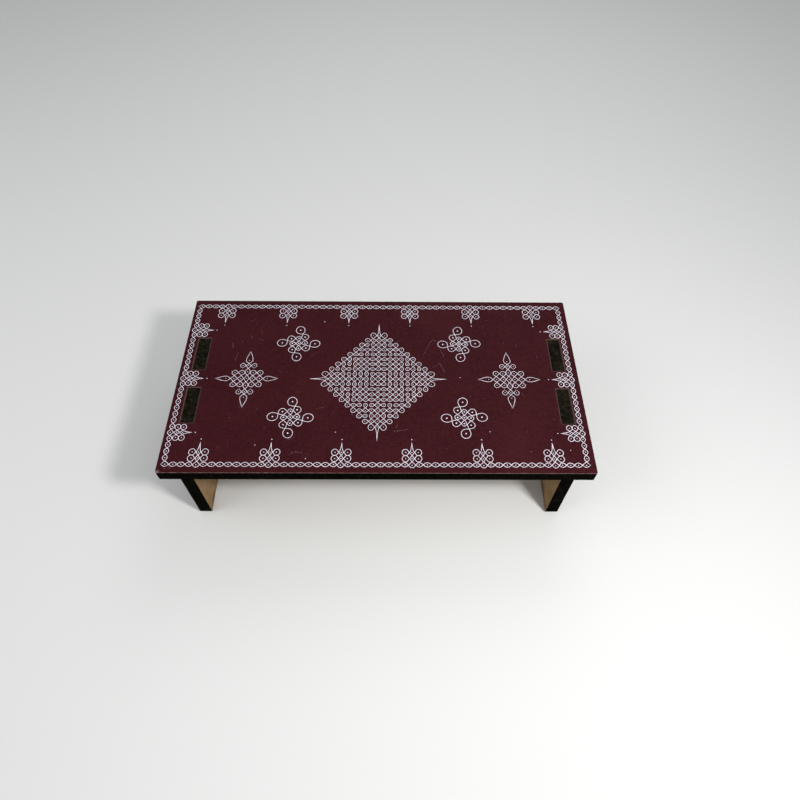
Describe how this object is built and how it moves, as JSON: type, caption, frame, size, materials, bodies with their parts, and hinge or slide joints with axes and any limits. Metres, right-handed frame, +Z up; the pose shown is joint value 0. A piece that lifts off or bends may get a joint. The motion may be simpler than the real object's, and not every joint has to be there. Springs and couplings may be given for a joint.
{
  "type": "low slot-together stand",
  "caption": "Low rectangular stand: a patterned top on two upright end panels whose tenons come up through slots in the top.",
  "frame": {"origin": "on the floor under the middle of the top", "axes": "+X along the top's long side, -Y to the front, +Z up"},
  "size_m": [0.38, 0.2, 0.103],
  "materials": {
    "board": "raw brown fibreboard, black where laser-cut",
    "film": "satin maroon",
    "ink": "satin white print"
  },
  "bodies": {
    "left_panel": {"left_panel_core": "board", "left_panel_film": "film"},
    "top": {"top_core": "board", "top_film": "film"},
    "right_panel": {"right_panel_core": "board", "right_panel_film": "film"}
  },
  "joints": [
    {"name": "top_lift", "type": "slide", "parent": "left_panel", "child": "top", "axis": [0, 0, 1], "range_m": [0, 0.03]},
    {"name": "right_panel_release", "type": "slide", "parent": "top", "child": "right_panel", "axis": [0, 0, -1], "range_m": [0, 0.03]}
  ],
  "couplings": [
    {"joint": "right_panel_release", "follows": "top_lift", "ratio": 1}
  ]
}
